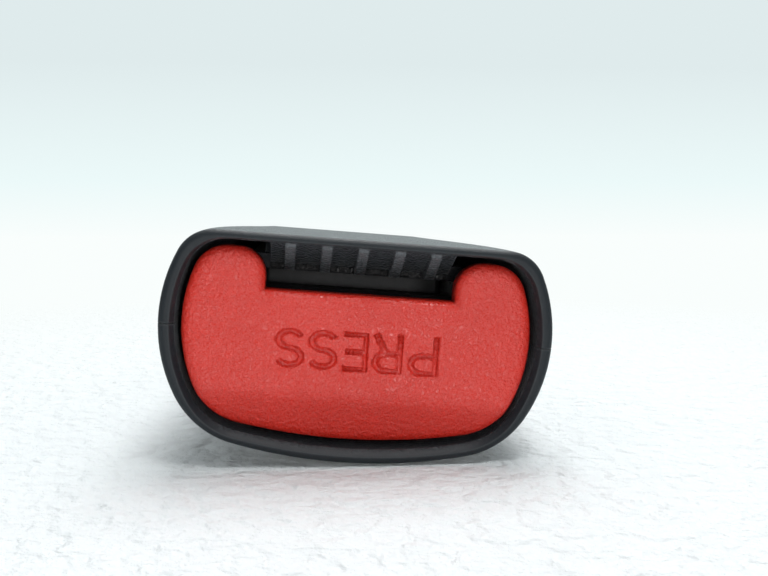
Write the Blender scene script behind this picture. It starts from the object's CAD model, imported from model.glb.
from math import cos, pi, radians, sin

import bmesh
import bpy
from mathutils import Matrix, Vector


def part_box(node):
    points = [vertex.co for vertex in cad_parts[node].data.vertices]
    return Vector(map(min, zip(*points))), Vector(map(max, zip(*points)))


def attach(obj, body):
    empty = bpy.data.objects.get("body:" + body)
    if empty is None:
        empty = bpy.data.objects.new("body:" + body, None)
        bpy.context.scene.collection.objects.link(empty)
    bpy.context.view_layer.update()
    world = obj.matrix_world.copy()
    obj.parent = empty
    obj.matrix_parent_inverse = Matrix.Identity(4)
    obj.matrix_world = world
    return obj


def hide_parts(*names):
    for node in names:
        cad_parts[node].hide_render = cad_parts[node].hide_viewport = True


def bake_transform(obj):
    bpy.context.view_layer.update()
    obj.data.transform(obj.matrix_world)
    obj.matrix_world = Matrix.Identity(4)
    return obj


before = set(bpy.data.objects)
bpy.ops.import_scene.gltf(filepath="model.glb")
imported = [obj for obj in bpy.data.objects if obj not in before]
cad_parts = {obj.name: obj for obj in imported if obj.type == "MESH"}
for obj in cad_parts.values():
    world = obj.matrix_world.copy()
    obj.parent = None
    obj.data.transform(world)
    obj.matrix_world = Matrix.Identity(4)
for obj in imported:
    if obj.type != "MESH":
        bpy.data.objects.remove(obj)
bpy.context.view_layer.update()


# --- Frame: a channel pressed from 2.3 mm steel sheet and zinc plated.
# Its base plate carries the tongue and its two walls hold the latch, the bar and the pin.
# It lies between pads in the upper cover and posts in the lower one.
mm = 0.001
steel_edge = 0.25 * mm
paint_black = (0.012, 0.012, 0.013)
paint_end = -124 * mm


def new_material(name, colour, roughness, metallic=0.0):
    material = bpy.data.materials.new(name)
    material.use_nodes = True
    shader = material.node_tree.nodes["Principled BSDF"]
    shader.inputs["Base Color"].default_value = (*colour, 1.0)
    shader.inputs["Roughness"].default_value = roughness
    shader.inputs["Metallic"].default_value = metallic
    return material


def noise(material, scale, stretch=(1.0, 1.0, 1.0), detail=2.0):
    """A cloudy pattern on object coordinates, with its spacing in cells per metre."""
    nodes, links = material.node_tree.nodes, material.node_tree.links
    place = nodes.new("ShaderNodeMapping")
    place.inputs["Scale"].default_value = stretch
    links.new(nodes.new("ShaderNodeTexCoord").outputs["Object"], place.inputs["Vector"])
    cells = nodes.new("ShaderNodeTexNoise")
    cells.inputs["Scale"].default_value = scale
    cells.inputs["Detail"].default_value = detail
    links.new(place.outputs["Vector"], cells.inputs["Vector"])
    return cells.outputs[0]


def spread(material, value, low, high, at_low=0.0, at_high=1.0):
    """Stretches a pattern's values from low..high to at_low..at_high."""
    remap = material.node_tree.nodes.new("ShaderNodeMapRange")
    remap.inputs["From Min"].default_value = low
    remap.inputs["From Max"].default_value = high
    remap.inputs["To Min"].default_value = at_low
    remap.inputs["To Max"].default_value = at_high
    material.node_tree.links.new(value, remap.inputs["Value"])
    return remap.outputs["Result"]


def place_on(material, axis):
    """Where a point is along X, Y or Z in the shared frame, in metres."""
    nodes, links = material.node_tree.nodes, material.node_tree.links
    parts = nodes.new("ShaderNodeSeparateXYZ")
    links.new(nodes.new("ShaderNodeTexCoord").outputs["Object"], parts.inputs[0])
    return parts.outputs[axis]


def from_centre(material):
    """How far a point is from the object's middle plane."""
    away = material.node_tree.nodes.new("ShaderNodeMath")
    away.operation = "ABSOLUTE"
    material.node_tree.links.new(place_on(material, "X"), away.inputs[0])
    return away.outputs[0]


def blend_colours(material, amount, first, second):
    """Mixes two colours, each a plain colour or another socket, by a pattern."""
    mix = material.node_tree.nodes.new("ShaderNodeMix")
    mix.data_type = "RGBA"
    for socket, colour in ((mix.inputs[6], first), (mix.inputs[7], second)):
        if isinstance(colour, tuple):
            socket.default_value = (*colour, 1.0)
        else:
            material.node_tree.links.new(colour, socket)
    material.node_tree.links.new(amount, mix.inputs[0])
    return mix.outputs[2]


def bump(material, height, depth, below=None):
    """Raises the surface by a pattern of that depth in metres, over another normal."""
    node = material.node_tree.nodes.new("ShaderNodeBump")
    node.inputs["Strength"].default_value = 1.0
    node.inputs["Distance"].default_value = depth
    material.node_tree.links.new(height, node.inputs["Height"])
    if below is not None:
        material.node_tree.links.new(below, node.inputs["Normal"])
    return node.outputs["Normal"]


def soft_edges(material, radius):
    """The small radius that a press or a mould leaves on every edge."""
    node = material.node_tree.nodes.new("ShaderNodeBevel")
    node.samples = 6
    node.inputs["Radius"].default_value = radius
    return node.outputs["Normal"]


def wear(material, rounded, low=0.90, high=0.995):
    """Goes from 0 on the flats to 1 on the edges, where the rounded normal leaves the face's."""
    nodes, links = material.node_tree.nodes, material.node_tree.links
    dot = nodes.new("ShaderNodeVectorMath")
    dot.operation = "DOT_PRODUCT"
    links.new(rounded, dot.inputs[0])
    links.new(nodes.new("ShaderNodeNewGeometry").outputs["True Normal"], dot.inputs[1])
    return spread(material, dot.outputs["Value"], high, low)


def set_input(material, name, socket):
    shader = material.node_tree.nodes["Principled BSDF"]
    material.node_tree.links.new(socket, shader.inputs[name])


def give(node_name, material):
    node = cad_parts[node_name]
    node.data.materials.clear()
    node.data.materials.append(material)


def plated_steel(name, colour, tint, roughness, along=(6.0, 1.0, 6.0), painted_to=None):
    """Rolled steel under a thin bright coat: faint rolling lines, patchy tint, worn edges.
    The end in front of painted_to, a place along Y, is painted black."""
    material = new_material(name, colour, roughness, metallic=1.0)
    rounded = soft_edges(material, steel_edge)
    worn = wear(material, rounded)
    patches = spread(material, noise(material, 90, detail=4), 0.35, 0.7)
    rolled = noise(material, 420, stretch=along, detail=6)
    tinted = blend_colours(material, patches, colour, tint)
    bright = tuple(min(1.0, 1.25 * part) for part in colour)
    coat = blend_colours(material, worn, tinted, bright)
    if painted_to is not None:
        bare = spread(material, place_on(material, "Y"), painted_to - 1 * mm, painted_to)
        coat = blend_colours(material, bare, paint_black, coat)
    set_input(material, "Base Color", coat)
    set_input(
        material, "Roughness", spread(material, rolled, 0.3, 0.7, roughness - 0.1, roughness + 0.12)
    )
    grain = noise(material, 2600, detail=5)
    fine = bump(material, grain, 0.006 * mm, rounded)
    set_input(material, "Normal", bump(material, rolled, 0.01 * mm, fine))
    return material


zinc = plated_steel(
    "zinc_plated_steel", (0.60, 0.61, 0.62), (0.52, 0.53, 0.47), 0.34, painted_to=paint_end
)
give("frame", zinc)


# --- Tongue guide: the floor of the tongue's channel, a strip of dark plastic.
# It is lugged into the frame's walls, and the tongue slides on it.
plastic_edge = 0.2 * mm


def moulded_plastic(name, colour, pale, roughness, grain_depth=0.008, grain_scale=1800):
    """A plastic moulding: fine spark grain, faint flow marks and paler rubbed edges."""
    material = new_material(name, colour, roughness)
    rounded = soft_edges(material, plastic_edge)
    worn = wear(material, rounded)
    flow = noise(material, 140, stretch=(1.0, 0.3, 1.0), detail=3)
    grain = noise(material, grain_scale, detail=4)
    moulded = blend_colours(material, spread(material, flow, 0.35, 0.65), colour, pale)
    rubbed = tuple(1.15 * part for part in pale)
    set_input(material, "Base Color", blend_colours(material, worn, moulded, rubbed))
    set_input(
        material, "Roughness", spread(material, grain, 0.3, 0.7, roughness - 0.07, roughness + 0.08)
    )
    set_input(material, "Normal", bump(material, grain, grain_depth * mm, rounded))
    return material


guide_plastic = moulded_plastic("guide_plastic", (0.012, 0.012, 0.013), (0.016, 0.016, 0.017), 0.45)
guide_plastic.node_tree.nodes["Principled BSDF"].inputs["Specular IOR Level"].default_value = 0.3
give("tongue_guide", guide_plastic)

# --- Latch, pivot pin and lock bar: hardened steel, tumbled smooth, dark from the heat.
# The pin is turned over outside the frame's walls, the latch turns on it, and the bar slides
# over the latch to hold it down.
hard_steel = plated_steel(
    "hardened_steel", (0.30, 0.30, 0.31), (0.22, 0.22, 0.25), 0.30, along=(1.0, 4.0, 4.0)
)
give("latch", hard_steel)
give("latch_pivot_pin", hard_steel)
give("lock_bar", hard_steel)

# --- Slider and ejector: black acetal mouldings that run dry on the steel. The slider carries
# the lock bar and the ejector pushes the tongue out. The seat across the frame, moulded in the
# guide's plastic, carries the fixed ends of their springs.
acetal = moulded_plastic("black_acetal", (0.008, 0.008, 0.009), (0.011, 0.011, 0.012), 0.42, 0.004)
acetal.node_tree.nodes["Principled BSDF"].inputs["Specular IOR Level"].default_value = 0.25
give("lock_slider", acetal)
give("ejector", acetal)
give("spring_seat", guide_plastic)

# --- Springs: drawn wire. Four are coiled to push along the buckle.
# The fifth is wound round the pivot pin, with one leg under the latch's shoulder.
wire = plated_steel(
    "spring_wire", (0.50, 0.50, 0.51), (0.40, 0.39, 0.37), 0.28, along=(1.0, 1.0, 1.0)
)
give("latch_spring", wire)
steps_per_turn, round_parts = 28, 12


def wind_coil(node_name, mean_radius, wire_radius, turns):
    """A round wire wound along Y in the place of the CAD node of that name.
    Its rear end stands in the case and its front end follows the body it pushes."""
    low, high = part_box(node_name)
    centre = (low + high) / 2
    start_y, end_y = low.y + wire_radius * mm, high.y - wire_radius * mm
    steps = int(turns * steps_per_turn)
    coil = bmesh.new()
    ring = bmesh.ops.create_circle(
        coil,
        cap_ends=False,
        segments=round_parts,
        radius=wire_radius * mm,
        matrix=Matrix.Translation((centre.x + mean_radius * mm, start_y, centre.z)),
    )["verts"]
    bmesh.ops.spin(
        coil,
        geom=[*ring, *coil.edges],
        cent=(centre.x, 0, centre.z),
        axis=(0, 1, 0),
        dvec=(0, (end_y - start_y) / steps, 0),
        angle=2 * pi * turns,
        steps=steps,
    )
    bmesh.ops.holes_fill(coil, edges=[edge for edge in coil.edges if edge.is_boundary], sides=0)
    bmesh.ops.recalc_face_normals(coil, faces=coil.faces)
    mesh = bpy.data.meshes.new(node_name + "_coil")
    coil.to_mesh(mesh)
    coil.free()
    mesh.polygons.foreach_set("use_smooth", [True] * len(mesh.polygons))
    mesh.materials.append(wire)
    spring = bpy.data.objects.new(node_name + "_coil", mesh)
    bpy.context.scene.collection.objects.link(spring)
    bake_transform(spring)
    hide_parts(node_name)


wind_coil("button_spring_left", mean_radius=1.9, wire_radius=0.3, turns=7)
wind_coil("button_spring_right", mean_radius=1.9, wire_radius=0.3, turns=7)
wind_coil("ejector_spring", mean_radius=2.0, wire_radius=0.3, turns=7)
wind_coil("lock_spring", mean_radius=1.5, wire_radius=0.25, turns=5)

# --- Stalk: a flat steel strap from the frame to the floor bolt, with a rubber boot.
# Two rivets join it to the frame and a flanged bush lines its eye.
give("anchor_strap", plated_steel("strap_steel", (0.56, 0.57, 0.58), (0.50, 0.50, 0.44), 0.36))
turned_steel = plated_steel(
    "turned_bush", (0.62, 0.62, 0.62), (0.57, 0.56, 0.52), 0.26, along=(1.0, 1.0, 8.0)
)
give("anchor_bush", turned_steel)
give("strap_rivets", hard_steel)
boot_rubber = moulded_plastic(
    "boot_rubber", (0.018, 0.018, 0.019), (0.024, 0.024, 0.025), 0.62, 0.015, 1300
)
give("strap_boot", boot_rubber)

# --- Covers: two black mouldings that meet in a line round the case, held by two screws.
# They are leather grained outside and smooth on the rim round the mouth. Tongues rub the
# guide ribs paler, and the slot behind the ribs is dark. Known fault: the ribs' stripes have
# no rear or side limit, so some also show on the case's rear end and its sides.
def times(material, first, second):
    """Lets one pattern through only where the other is."""
    product = material.node_tree.nodes.new("ShaderNodeMath")
    product.operation = "MULTIPLY"
    material.node_tree.links.new(first, product.inputs[0])
    material.node_tree.links.new(second, product.inputs[1])
    return product.outputs[0]


case_edge_radius = 0.45 * mm
leather_depth = 0.12 * mm
fine_depth = 0.014 * mm
smooth_rim_y = (-136.7 * mm, -135.9 * mm)
rib_pitch = 5.2 * mm
rib_half_width = 0.75 * mm
rib_edge = 0.06 * mm
rib_fade_z = (1.2 * mm, 5.9 * mm)
lip_z = (5.85 * mm, 5.95 * mm)
deep_y = (-134.0 * mm, -129.5 * mm)
slot_half_width = (13.3 * mm, 13.5 * mm)
channel_floor_z = (-0.5 * mm, 0.0)
case_black = new_material("case_black", (0.018, 0.018, 0.020), 0.42)
case_shader = case_black.node_tree.nodes["Principled BSDF"]
case_shader.inputs["Specular IOR Level"].default_value = 0.27
case_shader.inputs["Sheen Weight"].default_value = 0.12
case_shader.inputs["Sheen Roughness"].default_value = 0.35
case_shader.inputs["Sheen Tint"].default_value = (0.9, 0.96, 1.0, 1.0)
rounded = soft_edges(case_black, case_edge_radius)
worn = wear(case_black, rounded)
cells = noise(case_black, 2100, detail=3)
fine_grain = noise(case_black, 5200, detail=2)
behind_rim = spread(case_black, place_on(case_black, "Y"), *smooth_rim_y)
under_lip = spread(case_black, place_on(case_black, "Z"), *lip_z, 1.0, 0.0)
over_channel = spread(case_black, place_on(case_black, "Z"), *channel_floor_z)
in_slot = spread(case_black, from_centre(case_black), *slot_half_width, 1.0, 0.0)
far_in = spread(case_black, place_on(case_black, "Y"), *deep_y)
behind_lead_in = times(
    case_black, far_in, times(case_black, under_lip, times(case_black, over_channel, in_slot))
)
ribs = case_black.node_tree.nodes.new("ShaderNodeMath")
ribs.operation = "PINGPONG"
ribs.inputs[1].default_value = rib_pitch / 2
case_black.node_tree.links.new(place_on(case_black, "X"), ribs.inputs[0])
on_rib = spread(
    case_black, ribs.outputs[0], rib_half_width - rib_edge, rib_half_width + rib_edge, 1.0, 0.0
)
up_rib = spread(case_black, place_on(case_black, "Z"), *rib_fade_z)
rubbed = times(
    case_black, times(case_black, on_rib, up_rib), times(case_black, under_lip, behind_rim)
)
case_colour, case_edge = (0.011, 0.0145, 0.018), (0.045, 0.050, 0.054)
slot_colour, rubbed_rib = (0.002, 0.002, 0.002), (0.110, 0.118, 0.126)
moulded = blend_colours(case_black, worn, case_colour, case_edge)
deep = blend_colours(case_black, behind_lead_in, moulded, slot_colour)
set_input(case_black, "Base Color", blend_colours(case_black, rubbed, deep, rubbed_rib))
set_input(case_black, "Roughness", spread(case_black, behind_rim, 0.0, 1.0, 0.46, 0.30))
leather_height = times(case_black, spread(case_black, cells, 0.35, 0.65), behind_rim)
leather = bump(case_black, leather_height, leather_depth, rounded)
set_input(case_black, "Normal", bump(case_black, fine_grain, fine_depth, leather))
give("upper_cover", case_black)
give("lower_cover", case_black)
give("cover_screws", moulded_plastic("black_screws", (0.05,) * 3, (0.07,) * 3, 0.35, 0.004, 3000))

# --- Press button: red moulding with a dished face, two horns and a gap for the tongue.
# Its operating word is engraved in plain strokes. It slides in the mouth on two springs.
word_centre_z = -8.8
letter_height = 4.85
letter_width = 3.5
stroke_radius = 0.46
stroke_sink = 0.12
face_points = ((-135.6, 5.4), (-136.2, -5.0), (-137.6, -15.2))
facet = 0.6
front_y = -133.6
faceted_x, faceted_z = (-24.6, 24.6), (-20.4, 4.2)
dish_low_z = -13.0
on_dish = 0.03
weld_reach, cut_reach = 0.001, 0.0001
sharp_above = 38


def circle_through(points):
    """Centre and radius of the arc through three points."""
    (ax, ay), (bx, by), (cx, cy) = points
    a2, b2, c2 = ax**2 + ay**2, bx**2 + by**2, cx**2 + cy**2
    d = 2 * (ax * (by - cy) + bx * (cy - ay) + cx * (ay - by))
    centre_x = (a2 * (by - cy) + b2 * (cy - ay) + c2 * (ay - by)) / d
    centre_y = (a2 * (cx - bx) + b2 * (ax - cx) + c2 * (bx - ax)) / d
    return centre_x, centre_y, ((ax - centre_x) ** 2 + (ay - centre_y) ** 2) ** 0.5


arc_y, arc_z, arc_r = circle_through(face_points)


def face_y(z):
    """Where the dished face is at a height."""
    reach = (arc_r**2 - (z - arc_z) ** 2) ** 0.5
    return arc_y + reach if arc_y < face_points[0][0] else arc_y - reach


def round_stroke(turn_u, turn_v, radius_u, radius_v, start, end, steps=20):
    """Points on an elliptical stroke, from one angle to another in degrees."""
    return [
        (
            turn_u + radius_u * cos(radians(start + (end - start) * step / steps)),
            turn_v + radius_v * sin(radians(start + (end - start) * step / steps)),
        )
        for step in range(steps + 1)
    ]


# The letters' strokes, each about its own centre. A flat foot runs on to where round ends reach.
half_w, half_h = letter_width / 2, letter_height / 2
foot = half_h + 0.8 * stroke_radius
bowl_start, bowl_radius = 0.35, 1.4
leg_start, leg_reach = 0.25, half_w + 0.05
arm_end, middle_arm_end = half_w - 0.3, half_w - 0.6
s_half_w, s_half_h = half_w - 0.1, half_h - 0.06
bowl = round_stroke(bowl_start, 0.5 * half_h, bowl_radius, 0.5 * half_h, 90, -90)
stem_and_bowl = [(-half_w, -foot), (-half_w, half_h), *bowl, (-half_w, 0)]
upper_turn = round_stroke(0, 0.5 * s_half_h, s_half_w, 0.5 * s_half_h, 25, 270)
lower_turn = round_stroke(0, -0.5 * s_half_h, s_half_w, 0.5 * s_half_h, 90, -155)
letter_strokes = {
    "P": [stem_and_bowl],
    "R": [stem_and_bowl, [(leg_start, 0), (leg_reach, -foot)]],
    "E": [
        [(arm_end, half_h), (-half_w, half_h), (-half_w, -half_h), (arm_end, -half_h)],
        [(-half_w, 0), (middle_arm_end, 0)],
    ],
    "S": [[*upper_turn, *lower_turn]],
}
word = (("P", 9.5), ("R", 4.4), ("E", -0.5), ("S", -4.8), ("S", -9.5))

# Each stroke becomes a round rod, sunk a little behind the face, that cuts it.
cutter_curve = bpy.data.curves.new("word_strokes", "CURVE")
cutter_curve.dimensions = "3D"
cutter_curve.bevel_depth = stroke_radius * mm
cutter_curve.bevel_resolution = 5
cutter_curve.use_fill_caps = True
for letter, centre_x in word:
    for stroke in letter_strokes[letter]:
        spline = cutter_curve.splines.new("POLY")
        spline.points.add(len(stroke) - 1)
        for point, (u, v) in zip(spline.points, stroke):
            x, z = centre_x - u, word_centre_z - v
            point.co = (x * mm, (face_y(z) + stroke_sink) * mm, z * mm, 1.0)
cutter_source = bpy.data.objects.new("word_strokes", cutter_curve)
bpy.context.scene.collection.objects.link(cutter_source)
bpy.context.view_layer.update()
cutter = bpy.data.objects.new("word_cutter", bpy.data.meshes.new_from_object(cutter_source))
bpy.data.objects.remove(cutter_source)
bpy.context.scene.collection.objects.link(cutter)

# The front is cut into small facets, and their corners on the dish are set on its arc.
button_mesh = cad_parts["press_button"].data.copy()
body = bmesh.new()
body.from_mesh(button_mesh)
bmesh.ops.remove_doubles(body, verts=body.verts, dist=weld_reach * mm)
for axis, (first, last) in ((Vector((1, 0, 0)), faceted_x), (Vector((0, 0, 1)), faceted_z)):
    for step in range(int((last - first) / facet) + 1):
        front = [face for face in body.faces if face.calc_center_median().y < front_y * mm]
        touched = {edge for face in front for edge in face.edges}
        corners = {vert for face in front for vert in face.verts}
        bmesh.ops.bisect_plane(
            body,
            geom=[*front, *touched, *corners],
            dist=cut_reach * mm,
            plane_co=axis * (first + step * facet) * mm,
            plane_no=axis,
        )
for vert in body.verts:
    on_arc = face_y(vert.co.z / mm) * mm
    if vert.co.z > dish_low_z * mm and abs(vert.co.y - on_arc) < on_dish * mm:
        vert.co.y = on_arc
body.to_mesh(button_mesh)
body.free()
button = bpy.data.objects.new("press_button_face", button_mesh)
bpy.context.scene.collection.objects.link(button)
cut = button.modifiers.new("word", "BOOLEAN")
cut.operation = "DIFFERENCE"
cut.object = cutter
cut.solver = "EXACT"
cut.use_self = True
bpy.context.view_layer.update()
engraved = bpy.data.meshes.new_from_object(
    button.evaluated_get(bpy.context.evaluated_depsgraph_get())
)
button.modifiers.clear()
button.data = engraved
bpy.data.objects.remove(cutter)
engraved.polygons.foreach_set("use_smooth", [True] * len(engraved.polygons))
engraved.set_sharp_from_angle(angle=radians(sharp_above))

button_leather_depth, button_fine_depth = 0.085 * mm, 0.02 * mm
# Edges look rounded by the full radius, but crisp in the zone round the word.
crisp_edge, full_edge = 0.12 * mm, 2.2 * mm
word_zone_x = (13.0 * mm, 14.0 * mm)
word_zone_z = (-12.8 * mm, -12.2 * mm)
button_red = new_material("button_red", (0.62, 0.040, 0.028), 0.40)
rounded = soft_edges(button_red, crisp_edge)
near_word = times(
    button_red,
    spread(button_red, from_centre(button_red), *word_zone_x, 1.0, 0.0),
    spread(button_red, place_on(button_red, "Z"), *word_zone_z),
)
button_red.node_tree.links.new(
    spread(button_red, near_word, 0.0, 1.0, full_edge, crisp_edge),
    button_red.node_tree.nodes["Bevel"].inputs["Radius"],
)
grain = noise(button_red, 2000, detail=3)
fine_grain = noise(button_red, 4800, detail=2)
tone = noise(button_red, 60, detail=2)
deep_red, light_red = (0.56, 0.021, 0.011), (0.62, 0.027, 0.016)
cloudy = spread(button_red, tone, 0.3, 0.7)
set_input(button_red, "Base Color", blend_colours(button_red, cloudy, deep_red, light_red))
set_input(button_red, "Roughness", spread(button_red, fine_grain, 0.3, 0.7, 0.24, 0.34))
leather = bump(button_red, spread(button_red, grain, 0.35, 0.65), button_leather_depth, rounded)
set_input(button_red, "Normal", bump(button_red, fine_grain, button_fine_depth, leather))
button.data.materials.clear()
button.data.materials.append(button_red)
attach(button, "button")
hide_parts("press_button")

# --- Floor and backdrop: a rough white sheet that the belly rests on, tilted under it.
# Seen straight it glows away from the case, so that it runs into the wall without an edge.
sheet_lean = radians(4.5)
sheet_half_width = 1.5
sheet_gap = 0.2 * mm
glow_centre = (0.0, -0.137, -0.025)
glow_start, glow_full = 0.05, 0.25
near_share = 0.06
crumple_depth = 3.0 * mm
pale = (0.95, 0.99, 0.98)
sheet = bpy.data.meshes.new("floor")
ground = bmesh.new()
bmesh.ops.create_grid(ground, x_segments=2, y_segments=2, size=sheet_half_width)
lean = Matrix.Rotation(-sheet_lean, 4, "Y")
up = (lean @ Vector((0, 0, 1))).normalized()
lowest = min(
    vertex.co.dot(up)
    for node in ("lower_cover", "upper_cover")
    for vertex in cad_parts[node].data.vertices
)
bmesh.ops.transform(
    ground, matrix=lean @ Matrix.Translation((0, 0, lowest - sheet_gap)), verts=ground.verts
)
ground.to_mesh(sheet)
ground.free()
floor = bpy.data.objects.new("floor", sheet)
bpy.context.scene.collection.objects.link(floor)
floor_white = new_material("white_sheet", (0.74, 0.77, 0.78), 0.8)
crumple = noise(floor_white, 300, detail=9)
set_input(floor_white, "Normal", bump(floor_white, crumple, crumple_depth))
nodes, links = floor_white.node_tree.nodes, floor_white.node_tree.links
glow = nodes.new("ShaderNodeEmission")
glow.inputs["Color"].default_value = (*pale, 1.0)
distance = nodes.new("ShaderNodeVectorMath")
distance.operation = "DISTANCE"
links.new(nodes.new("ShaderNodeTexCoord").outputs["Object"], distance.inputs[0])
distance.inputs[1].default_value = glow_centre
far_glow = spread(floor_white, distance.outputs["Value"], glow_start, glow_full, near_share, 1.0)
seen_straight = nodes.new("ShaderNodeLightPath").outputs["Is Camera Ray"]
lit = nodes.new("ShaderNodeMixShader")
links.new(times(floor_white, far_glow, seen_straight), lit.inputs["Fac"])
links.new(nodes["Principled BSDF"].outputs[0], lit.inputs[1])
links.new(glow.outputs[0], lit.inputs[2])
links.new(lit.outputs[0], nodes["Material Output"].inputs["Surface"])
floor.data.materials.append(floor_white)

# The wall far behind is pale grey above and fades to white where it meets the floor.
# Its tones go by the height above the tilted floor.
wall_y = 0.9
wall_half_width, wall_low_z, wall_top_z = 2.0, -0.3, 1.5
white_below, grey_from, grey_above = -0.03, 0.04, 0.18
pale_grey, upper_grey = (0.84, 0.95, 0.95), (0.74, 0.83, 0.84)
wall_mesh = bpy.data.meshes.new("wall")
upright = Matrix.Rotation(radians(90), 4, "X")
stretch = Matrix.Diagonal((wall_half_width, 1.0, (wall_top_z - wall_low_z) / 2, 1.0))
middle = Matrix.Translation((0, wall_y, (wall_top_z + wall_low_z) / 2))
wall_sheet = bmesh.new()
bmesh.ops.create_grid(
    wall_sheet, x_segments=1, y_segments=1, size=1.0, matrix=middle @ stretch @ upright
)
wall_sheet.to_mesh(wall_mesh)
wall_sheet.free()
wall = bpy.data.objects.new("wall", wall_mesh)
bpy.context.scene.collection.objects.link(wall)
wall_paint = new_material("wall_paint", (0.8, 0.8, 0.8), 0.9)
nodes, links = wall_paint.node_tree.nodes, wall_paint.node_tree.links
wall_glow = nodes.new("ShaderNodeEmission")
above_floor = nodes.new("ShaderNodeMath")
above_floor.operation = "MULTIPLY_ADD"
above_floor.inputs[1].default_value = -sheet_lean
links.new(place_on(wall_paint, "X"), above_floor.inputs[0])
links.new(place_on(wall_paint, "Z"), above_floor.inputs[2])
height = above_floor.outputs[0]
low_part = spread(wall_paint, height, white_below, grey_from)
high_part = spread(wall_paint, height, grey_from, grey_above)
lower = blend_colours(wall_paint, low_part, pale, pale_grey)
whole = blend_colours(wall_paint, high_part, lower, upper_grey)
links.new(whole, wall_glow.inputs["Color"])
links.new(wall_glow.outputs[0], nodes["Material Output"].inputs["Surface"])
wall.data.materials.append(wall_paint)

# --- Light: a white room, bright above and behind and dim towards the viewer.
# A large soft lamp hangs behind the mouth and three small ones stand in front of it.
world = bpy.data.worlds.new("white_room")
bpy.context.scene.world = world
world.use_nodes = True
nodes, links = world.node_tree.nodes, world.node_tree.links
room = nodes["Background"]
room.inputs["Color"].default_value = (0.92, 0.97, 1.0, 1.0)
back_share = 0.5
dim_from, bright_to = -0.4, 0.8
dim_side, bright_side = 0.08, 0.60
parts = nodes.new("ShaderNodeSeparateXYZ")
links.new(nodes.new("ShaderNodeTexCoord").outputs["Generated"], parts.inputs[0])
lean_back = nodes.new("ShaderNodeMath")
lean_back.operation = "MULTIPLY_ADD"
lean_back.inputs[1].default_value = back_share
links.new(parts.outputs["Y"], lean_back.inputs[0])
links.new(parts.outputs["Z"], lean_back.inputs[2])
strength = spread(world, lean_back.outputs[0], dim_from, bright_to, dim_side, bright_side)
links.new(strength, room.inputs["Strength"])
seen = nodes.new("ShaderNodeBackground")
seen.inputs["Color"].default_value = (*pale, 1.0)
choose = nodes.new("ShaderNodeMixShader")
links.new(nodes.new("ShaderNodeLightPath").outputs["Is Camera Ray"], choose.inputs["Fac"])
links.new(room.outputs["Background"], choose.inputs[1])
links.new(seen.outputs["Background"], choose.inputs[2])
links.new(choose.outputs["Shader"], nodes["World Output"].inputs["Surface"])


def lamp(name, place, target, size, watts):
    """A square soft lamp at a place, turned to its target."""
    light = bpy.data.lights.new(name, "AREA")
    light.shape = "SQUARE"
    light.size = size
    light.energy = watts
    lamp_object = bpy.data.objects.new(name, light)
    lamp_object.location = place
    direction = Vector(target) - Vector(place)
    lamp_object.rotation_mode = "QUATERNION"
    lamp_object.rotation_quaternion = direction.to_track_quat("-Z", "Y")
    bpy.context.scene.collection.objects.link(lamp_object)


lamp("overhead", (0.02, 0.08, 0.52), (0, -0.12, 0), size=0.35, watts=2.7)
lamp("front_above", (0.03, -0.33, 0.45), (0, -0.137, 0), size=0.15, watts=0.9)
lamp("front_low", (-0.05, -0.42, -0.012), (0, -0.137, -0.01), size=0.12, watts=0.19)
lamp("face_sheen", (0.055, -0.481, 0.022), (0, -0.137, -0.008), size=0.05, watts=0.18)

# --- Camera: close in front of the mouth, a little to its left and above.
# It is rolled a few degrees, so that the case leans in the picture.
camera_place = Vector((-8.8, -271.1, 11.5)) * mm
camera_aim = Vector((0.088, 0.993, -0.0805))
camera_roll = 4.5
image_width, focal_pixels = 768, 960
sensor_width = 36.0
camera_data = bpy.data.cameras.new("camera")
camera_data.sensor_width = sensor_width
camera_data.lens = sensor_width * focal_pixels / image_width
camera_data.clip_start = 0.005
camera_data.clip_end = 20.0
camera = bpy.data.objects.new("camera", camera_data)
camera.rotation_mode = "QUATERNION"
aim = camera_aim.to_track_quat("-Z", "Y")
camera.rotation_quaternion = aim @ Matrix.Rotation(radians(camera_roll), 3, "Z").to_quaternion()
camera.location = camera_place
bpy.context.scene.collection.objects.link(camera)
bpy.context.scene.camera = camera
bpy.context.scene.view_settings.view_transform = "Standard"
